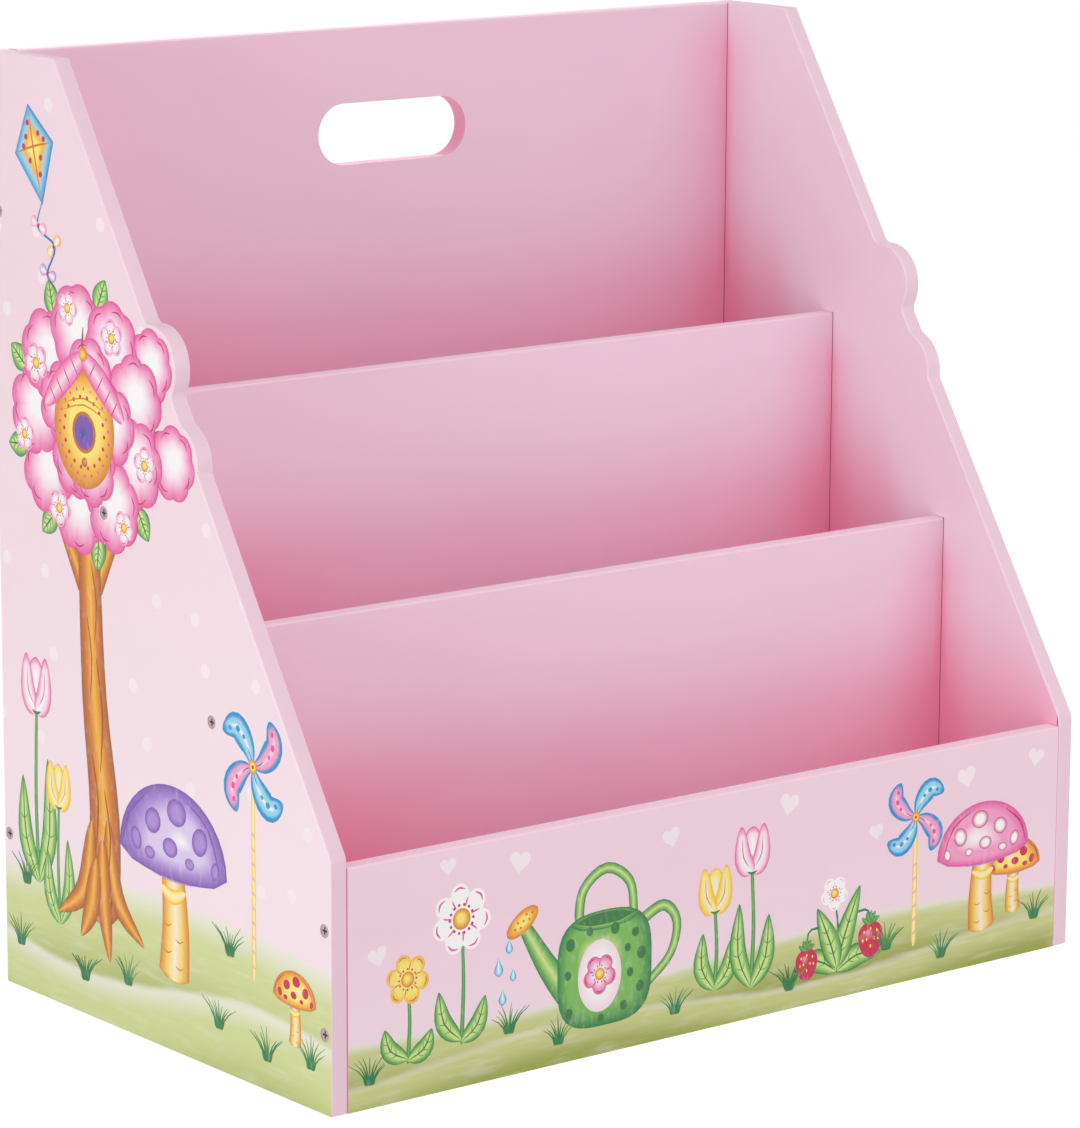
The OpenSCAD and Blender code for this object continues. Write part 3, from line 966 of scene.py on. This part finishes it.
def paint_blossom(brush, reach, petals, petal_tones, contour, turn=0.3):
    """A small flower from the front, with a round centre in a ring of dots."""
    sides = petals * 10
    brush.blob((0, 0), lobed(reach, petals, 0.34, turn), *petal_tones, sides=sides)
    for step in range(petals):
        angle = math.degrees(turn) + 360 * step / petals
        petal = brush.move((0, 0), size=reach, turn=angle)
        petal.line([(0.34, 0), (0.5, 0.015), (0.64, 0)], 0.05, contour)
        middle = brush.move((0, 0), size=reach, turn=angle + 180 / petals)
        middle.line([(0.8, -0.2), (0.88, 0), (0.8, 0.2)], 0.06, contour)
    brush.blob((0, 0), reach * 0.3, *PETAL_CENTRE, heart=(-reach * 0.05, reach * 0.05))
    brush.ring((0, 0), reach * 0.4, petals * 2, reach * 0.045, CRIMSON)


def paint_flower(brush, height, reach, petals, petal_tones, contour):
    """A blossom on a stem with two leaves."""
    brush.stroke([(0, 0), (1.5, height / 2), (0, height)], taper(3.2, 2.0), edgewise(LEAF, PINE), across=2)
    paint_leaf(brush, [(0, 3), (-13, height * 0.2), (-17, height * 0.46)], 13)
    paint_leaf(brush, [(0, 2), (12, height * 0.14), (18, height * 0.36)], 13)
    paint_blossom(brush.move((0, height)), reach, petals, petal_tones, contour)


def paint_tulip(brush, height, tones, contour):
    """A tulip with two long leaves."""
    brush.stroke([(0, 0), (2, height * 0.5), (0, height)], taper(4.2, 3.0), edgewise(LEAF, PINE), across=2)
    paint_leaf(brush, [(0, 0), (-13, height * 0.3), (-12, height * 0.74)], 17)
    paint_leaf(brush, [(0, 0), (14, height * 0.24), (17, height * 0.6)], 17)
    cup = brush.move((0, height - 2))
    cup.stroke([(0, 0), (0, 17), (0, 36)], swell(24, 0.55, 0.9), rimmed(*tones))
    for side in (1, -1):
        cup.stroke([(0, 0), (9 * side, 12), (11 * side, 37)], swell(17, 0.55, 0.75), rimmed(*tones))
        cup.line([(3 * side, 5), (9 * side, 14), (10 * side, 28)], 0.9, contour)
    cup.line([(-5, 1.5), (0, 0), (5, 1.5)], 2, PINE)


def paint_toadstool(brush, cap_tones, spot_tone, rim):
    """A toadstool with a spotted cap, about 100 high."""
    brush.stroke([(0, 0), (-2, 30), (1, 66)], taper(27, 17, 0.7), edgewise(CREAM, BUTTER, AMBER, RUST))
    for step, low in enumerate((9, 16, 23, 30)):
        side = 1 if step % 2 else -1
        brush.line([(9 * side, low), (5 * side, low - 1.6), (1.5 * side, low)], 0.8, RUST)
    brush.blob((0, 61), oval(34, 9), CREAM, LILAC, VIOLET, sides=28)
    for step in range(-5, 6):
        brush.line([(step * 2.6, 60), (step * 4.2, 57), (step * 5.8, 57)], 0.7, PLUM, along=4)
    brush.stroke([(-11, 48), (0, 44), (11, 48)], swell(8, 0.5), edgewise(CREAM, BUTTER, AMBER))
    brush.blob((0, 62), oval(47, 39, 9), *cap_tones, heart=(-8, 12), sides=40)
    for x, y, wide, high, turn in (
        (-4, 88, 8.5, 7, 0), (17, 80, 7, 6.5, -25), (-24, 77, 6.5, 7.5, 30), (2, 69, 6.5, 5, 0),
        (32, 68, 4.5, 6, -20), (-37, 65, 3.4, 4.8, 20), (-15, 64, 4, 3, 0), (20, 63, 4.6, 3.2, 0),
    ):
        brush.move((x, y), turn=turn).blob((0, 0), oval(wide, high), spot_tone, spot_tone, rim)
    brush.line([(-42, 62), (-31, 85), (-9, 97)], 1.2, rim)
    brush.line([(44, 64), (38, 80), (22, 93)], 1.6, rim)


def paint_pinwheel(brush, reach, stick):
    """A toy windmill on a stick, with its hub at the brush's place."""
    brush.stroke([(0, -stick), (0, -stick / 2), (0, 0)], taper(4.4, 3.6), edgewise(CREAM, BUTTER, AMBER))
    for low in range(8, int(stick - reach), 9):
        band = brush.move((0, low - stick))
        band.line([(-1.8, 0), (0, 1.4), (1.8, 3)], 1.2, ROSE, along=4)
    for step in range(4):
        sail = brush.move((0, 0), size=reach / 34, turn=90 * step + 24)
        pale, middle, dots = (BLUSH, ROSE, MAGENTA) if step % 2 else (WHITE, SKY, BLUE)
        tones = rimmed(pale, middle, middle, BLUE, BLUE)
        sail.stroke([(0, 0), (10, 9), (24, 13), (35, 3)], swell(18, 0.6, 1.25), tones, along=20, across=8)
        for x, y, size in ((15, 11.5, 1.7), (22, 12.5, 2.3), (29, 8.5, 1.9)):
            sail.blob((x, y), oval(size, size * 0.8), dots, sides=10)
        sail.line([(1.5, 1.6), (5, 5.2), (9.5, 8)], 0.8, NAVY)
    brush.blob((0, 0), reach * 0.13, *PETAL_CENTRE)
    brush.blob((0, 0), reach * 0.04, RED, sides=10)


def paint_kite(brush):
    """A kite with a wavy tail that hangs below it."""
    tail = [(0, -33), (9, -48), (-7, -62), (6, -77), (-1, -88)]
    brush.line(tail, 1.3, BLUE, NAVY, along=24)
    for x, y, turn, bow_tone in ((8, -47, 35, ROSE), (-6, -62, -30, AMBER), (5.5, -77, 30, VIOLET)):
        bow = brush.move((x, y), turn=turn)
        for side in (1, -1):
            loop = [(0, 0), (4.5 * side, 0.4), (9 * side, 0)]
            bow.stroke(loop, swell(7.5, 0.6, 1.6), rimmed(WHITE, bow_tone))
        bow.blob((0, 0), 1.5, CRIMSON, sides=10)
    brush.blob((0, 0), oval(22, 27, 35, power=1.0), BUTTER, BUTTER, AMBER, SKY, BLUE, sides=48)
    brush.line([(-21, 0), (0, 1), (21, 0)], 1.5, RUST)
    brush.line([(0, 26), (0.6, 0), (0, -34)], 1.5, RUST)
    for x, y in ((-7, 8), (7, 8), (-6, -7), (6, -7), (-3, -17), (11, 2.5), (-12, 3.5), (3, 16)):
        brush.blob((x, y), 1.9, RED, sides=10)


def paint_nest_box(brush):
    """A round yellow nest box with a pink roof."""
    brush.line([(0, 62), (1, 50), (0, 36)], 1.8, BARK)
    brush.blob((0, 0), oval(33, 36, 38), BUTTER, BUTTER, BUTTER, AMBER, RUST, heart=(-4, 5), sides=40)
    brush.ring((0, -3), 22, 18, 1.4, RED)
    brush.ring((0, -3), 27, 22, 1.1, MAGENTA, turn=0.14)
    for drop in (0, 1):
        brush.line([(-24, 12 - 4 * drop), (0, 18 - 4 * drop), (24, 12 - 4 * drop)], 0.9, RUST)
    brush.blob((0, -3), 13, PLUM, PLUM, BARK, RUST)
    brush.blob((0, -3), 10.5, NAVY, PLUM, PLUM, heart=(2, -2))
    brush.blob((0, -21.5), 3, AMBER, RUST, BARK, heart=(-1, 1), sides=14)
    for side in (1, -1):
        brush.stroke([(-2 * side, 45), (19 * side, 30), (43 * side, 9)], swell(17, 0.4),
                     edgewise(BLUSH, ROSE, MAGENTA), along=14)
        for share in (0.22, 0.42, 0.62, 0.8):
            x, y = (41 * share + 1) * side, 44 - 35 * share
            brush.line([(x - 4 * side, y - 5), (x, y), (x + 3.5 * side, y + 5)], 1.0, CRIMSON, along=5)
    brush.blob((0, 45), 4.5, BUTTER, AMBER, RUST)


def paint_puff(brush, reach, turn):
    """One round mass of blossom."""
    heart = (-reach * 0.1, reach * 0.14)
    brush.blob((0, 0), lobed(reach, 7, 0.13, turn), *PETAL_PINK, heart=heart, sides=56)
    for angle in (-70, -10, 55, 120, 200):
        arc = brush.move((0, 0), size=reach, turn=angle + math.degrees(turn))
        arc.line([(0.74, -0.22), (0.82, 0), (0.74, 0.22)], 1.1 / reach, CRIMSON)


def paint_tree(brush, scallops):
    """A blossom tree with a nest box, whose two front puffs fill the panel's scallops."""
    bark = edgewise(AMBER, RUST, BARK)
    for points in ([(70, 270), (40, 318), (14, 346)], [(76, 270), (104, 312), (122, 340)]):
        brush.stroke(points, taper(16, 4), bark)
    brush.stroke([(66, 62), (60, 130), (70, 210), (74, 310)], taper(42, 24, 1.6), bark, along=20)
    for points in (
        [(57, 132), (48, 84), (18, 58)], [(74, 128), (84, 82), (114, 60)], [(63, 118), (62, 78), (56, 40)],
        [(70, 104), (76, 72), (88, 50)],
    ):
        brush.stroke(points, swell(17, 0.7, 0.8), bark)
    for x, low, high in ((57, 92, 150), (70, 110, 170), (64, 160, 232), (75, 200, 262), (69, 240, 292)):
        brush.line([(x, low), (x - 3, (low + high) / 2), (x + 3, high)], 1.3, BARK)
    crown = brush.move((74, 378))
    ring = [math.radians(angle) for angle in range(-80, 280, 40)]
    for angle in ring:
        spot, tip = polar(70, angle + 0.35), polar(92, angle + 0.42)
        paint_leaf(crown, [spot, (spot + tip) / 2, tip], 17)
    for spot in scallops:
        paint_puff(brush.move(spot), 23.5, 0.2)
    for angle in ring:
        paint_puff(crown.move(polar(56, angle)), 29, angle)
    for angle in ring[::2]:
        paint_puff(crown.move(polar(27, angle + 0.3)), 26, angle)
    paint_nest_box(brush.move((76, 374)))
    for degrees, away, size in (
        (-62, 66, 12), (-14, 72, 11), (28, 62, 13), (74, 70, 11), (118, 62, 12), (196, 66, 12),
        (236, 72, 11),
    ):
        angle = math.radians(degrees)
        blossom = crown.move(polar(away, angle))
        paint_blossom(blossom, size, 5, BLOSSOM_WHITE, CRIMSON, turn=angle)


def paint_strawberry(brush):
    """A strawberry plant with three leaves, two berries and a flower."""
    brush.line([(0, 0), (-8, 30), (-24, 34), (-27, 22)], 1.8, PINE, along=12)
    brush.line([(0, 0), (10, 34), (26, 40), (30, 30)], 1.8, PINE, along=12)
    brush.line([(0, 0), (1, 30), (-3, 54)], 1.8, PINE)
    for points in (
        [(0, 2), (-18, 12), (-38, 8)], [(0, 2), (18, 10), (40, 9)], [(0, 4), (6, 24), (20, 58)],
        [(0, 4), (-6, 22), (-18, 48)],
    ):
        paint_leaf(brush, points, 17)
    green = edgewise(LEAF, PINE)
    for x, y, size in ((-27, 14, 1.0), (30, 22, 1.15)):
        berry = brush.move((x, y), size=size)
        berry.blob((0, 0), oval(9.5, 8, 14), ROSE, RED, RED, CRIMSON, heart=(-2.5, 2), sides=26)
        for spot in ((-5, 2), (0, 3.5), (5, 2), (-3, -2.5), (3, -2.5), (0, -7), (-6, -3), (6, -3)):
            berry.blob(spot, oval(0.6, 1.1), BUTTER, sides=8)
        for angle in (30, 65, 90, 115, 150):
            sepal = berry.move((0, 6.5), turn=angle)
            sepal.stroke([(0, 0), (4, 0.3), (8, -0.5)], swell(3, 0.7), green, along=6, across=2)
    paint_blossom(brush.move((-3, 56)), 12, 5, PETAL_WHITE, ROSE)


def paint_watering_can(brush):
    """A green spotted watering can with a yellow rose that drips."""
    green = edgewise(LIME, LEAF, PINE)
    brush.stroke([(26, 60), (46, 68), (57, 56), (52, 36), (33, 20)], taper(8, 6), green, along=24)
    brush.stroke([(-21, 66), (-17, 88), (1, 99), (19, 88), (23, 66)], taper(7.5, 6.5), green, along=24)
    brush.stroke([(-26, 22), (-44, 44), (-62, 72)], taper(20, 9, 0.8), green, along=14)
    rose = brush.move((-64, 76), turn=34)
    rose.blob((0, 0), oval(14, 6.5), BUTTER, BUTTER, AMBER, RUST, sides=28)
    for x, y in ((-7, 0), (-3, 2), (-3, -2), (1, 0), (5, 2), (5, -2), (9, 0)):
        rose.blob((x, y), 0.9, RUST, sides=8)
    brush.blob((0, 36), oval(37, 36, power=3.4), LIME, LIME, LEAF, LEAF, PINE, heart=(-7, 8), sides=48)
    brush.blob((-4, 32), oval(17, 23), WHITE, WHITE, BLUSH, sides=30)
    brush.blob((0, 67), oval(28, 6), LEAF, LIME, LEAF, PINE, sides=30)
    brush.blob((0, 67.6), oval(23, 3.8), PINE, GRASS, sides=24)
    for x, y, size in (
        (-27, 55, 3.6), (-12, 61, 2.6), (8, 60, 3.4), (24, 55, 2.8), (29, 41, 3.6), (20, 30, 2.6),
        (28, 20, 3.2), (15, 10, 2.8), (-3, 5, 2.4), (-28, 12, 3.0), (-29, 36, 2.6), (18, 46, 2.4),
    ):
        brush.blob((x, y), oval(size, size * 1.15), PINE, GRASS, sides=12)
    paint_blossom(brush.move((-4, 33)), 13, 5, PETAL_PINK, CRIMSON)
    for x, y, size in ((-74, 62, 1.0), (-82, 50, 1.25), (-71, 44, 0.9), (-79, 31, 1.1)):
        drop = brush.move((x, y), size=size)
        drop.stroke([(0, 6), (0, 1), (0, -4)], swell(5.6, 0.8, 1.9), rimmed(WHITE, SKY, BLUE), along=10)


def paint_tuft(brush, rng):
    """A tuft of grass, each blade with its own random lean, height and green."""
    for step in range(-4, 5):
        lean = step * 0.17 + rng.uniform(-0.08, 0.08)
        high = rng.uniform(15, 23) * (1 - 0.05 * abs(step))
        bend = lean * high
        green = rng.choice((PINE, GRASS, LEAF, PINE))
        foot = step * 0.7
        blade = [(foot, 0), (foot + bend * 0.35, high * 0.55), (foot + bend * 1.3, high)]
        brush.stroke(blade, taper(1.9, 0.2), lengthwise(PINE, green), along=5, across=1)


def paint_tufts(board, spots, rng, size=1.0):
    """Tufts of grass at some places."""
    for spot in spots:
        paint_tuft(board.move(spot, size=size), rng)


# The middles of the two scallops on a side panel's sloping edge, in millimetres to the rear and up
SCALLOPS = ((4.4, 420.6), (-18.3, 365.2))


def paint_side(name, plane, outward):
    """The picture on one side panel, in distances to the rear and up."""
    picture = Picture(0, plane, outward, screw_spots())
    board = Brush(picture, (0, 0))
    paint_tulip(board.move((136, 74)), 112, PETAL_PINK, CRIMSON)
    paint_tulip(board.move((112, 52), size=0.8), 96, PETAL_YELLOW, RUST)
    paint_tree(board, SCALLOPS)
    picture.finish_piece(name + "_tree")
    paint_pinwheel(board.move((-99, 196)), 34, 132)
    paint_toadstool(board.move((-14, 44), size=1.22), VIOLET_CAP, VIOLET, PLUM)
    paint_toadstool(board.move((-140, 34), size=0.46), YELLOW_CAP, RED, CRIMSON)
    paint_kite(board.move((128, 540), turn=-14))
    picture.finish_piece(name + "_garden")
    tufts = ((158, 28), (150, 70), (84, 22), (36, 30), (-62, 26), (-74, 74), (-112, 18), (-156, 24))
    paint_tufts(board, tufts, random.Random(11))
    picture.finish_piece(name + "_grass")


def paint_front():
    """The picture on the front panel, in distances to the right and up."""
    picture = Picture(1, FRONT_FACE, -1)
    board = Brush(picture, (0, 0))
    pale_tone = fade(0.55, FRONT_GROUND, WHITE)
    for x, y, size, turn in (
        (-266, 92, 7, 12), (-160, 132, 8, -10), (-42, 128, 7, 14), (54, 134, 8, -12), (128, 104, 6, 8),
        (206, 128, 8, 12), (268, 132, 7, -10), (-214, 138, 6, 0),
    ):
        board.move((x, y), size=size / 8, turn=turn).fill((0, 0), heart_rim, pale_tone, sides=40)
    paint_flower(board.move((-244, 22)), 52, 16, 6, PETAL_YELLOW, RUST)
    paint_flower(board.move((-204, 26)), 78, 22, 7, PETAL_WHITE, MAGENTA)
    paint_tulip(board.move((-6, 24), size=0.8), 64, PETAL_YELLOW, RUST)
    paint_tulip(board.move((24, 20), size=0.84), 90, PETAL_PINK, CRIMSON)
    paint_pinwheel(board.move((162, 108)), 27, 86)
    picture.finish_piece("front_flowers")
    paint_watering_can(board.move((-94, 18)))
    paint_strawberry(board.move((96, 16), size=0.95))
    paint_toadstool(board.move((250, 30), size=0.5), YELLOW_CAP, RED, CRIMSON)
    paint_toadstool(board.move((222, 22), size=0.86), PINK_CAP, WHITE, CRIMSON)
    picture.finish_piece("front_garden")
    tufts = ((-272, 14), (-168, 26), (-130, 12), (-38, 14), (56, 12), (138, 24), (186, 10), (269, 22))
    paint_tufts(board, tufts, random.Random(5), size=0.9)
    picture.finish_piece("front_grass")


paint_side("left", LEFT_FACE, -1)
paint_side("right", RIGHT_FACE, 1)
paint_front()


# Floor, backdrop and light. The floor's shade and glow make up the white that shows, and its bounce is
# what lights the case. The world shows at the white level.
FLOOR_REACH = 40
FLOOR_SHADE, FLOOR_GLOW = (0.3, 0.3, 0.3), 0.845
FLOOR_BOUNCE = tone(238, 238, 238)
WHITE_LEVEL, WORLD_LEVEL = 1.0, 0.53


def make_floor():
    """A floor that shows as white with the case's shadow, and throws a little less light back."""
    mesh = bpy.data.meshes.new("floor")
    floor = new_object("floor", mesh)
    bm = bmesh.new()
    bmesh.ops.create_grid(bm, x_segments=1, y_segments=1, size=FLOOR_REACH)
    bm.to_mesh(mesh)
    bm.free()
    material = bpy.data.materials.new("pale_floor")
    material.use_nodes = True
    tree = material.node_tree
    tree.nodes.remove(tree.nodes["Principled BSDF"])
    graph = Graph(tree)
    shadowed = graph.add("ShaderNodeBsdfDiffuse", {"Color": FLOOR_SHADE}).outputs[0]
    glow = graph.add("ShaderNodeEmission", {"Color": (1, 1, 1), "Strength": FLOOR_GLOW}).outputs[0]
    shown = graph.add("ShaderNodeAddShader", {0: shadowed, 1: glow}).outputs[0]
    bounce = graph.add("ShaderNodeBsdfDiffuse", {"Color": FLOOR_BOUNCE}).outputs[0]
    both = graph.add("ShaderNodeMixShader", {0: graph.seen_directly(), 1: bounce, 2: shown}).outputs[0]
    graph.feed(tree.nodes["Material Output"].inputs["Surface"], both)
    mesh.materials.append(material)


def make_world(level):
    """A world that shows as white and lights the case at a lower level."""
    world = bpy.data.worlds.new("studio")
    world.use_nodes = True
    bpy.context.scene.world = world
    graph = Graph(world.node_tree)
    world.node_tree.nodes.clear()
    strength = graph.math("MULTIPLY_ADD", graph.seen_directly(), WHITE_LEVEL - level, level)
    sky = graph.add("ShaderNodeBackground", {"Color": (1, 1, 1, 1), "Strength": strength})
    graph.add("ShaderNodeOutputWorld", {"Surface": sky.outputs[0]})


def make_lamp(name, place, target, size, power):
    """A soft square lamp at a place, turned towards a target. Its size is in metres, its power in watts."""
    lamp = new_object(name, bpy.data.lights.new(name, "AREA"))
    lamp.data.shape = "SQUARE"
    lamp.data.size = size
    lamp.data.energy = power
    lamp.location = place
    lamp.rotation_mode = "QUATERNION"
    lamp.rotation_quaternion = (Vector(target) - Vector(place)).to_track_quat("-Z", "Y")


make_floor()
make_world(WORLD_LEVEL)
for lamp_name, lamp_place, lamp_size, lamp_power in (
    ("left_lamp", (-3.2, -0.6, 0.6), 1.1, 30.5),
    ("front_lamp", (0.2, -2.6, 2.4), 1.6, 18),
    ("right_lamp", (1.6, -3.0, 1.2), 1.6, 12.6),
    ("back_lamp", (1.4, 3.0, 0.8), 1.6, 16),
    ("far_lamp", (3.2, 0.9, 0.6), 1.6, 15),
    ("top_lamp", (0, -0.3, 3.0), 2, 8),
):
    make_lamp(lamp_name, lamp_place, (0, 0, CASE_TOP / 2), lamp_size, lamp_power)
bpy.context.scene.view_settings.view_transform = "Standard"
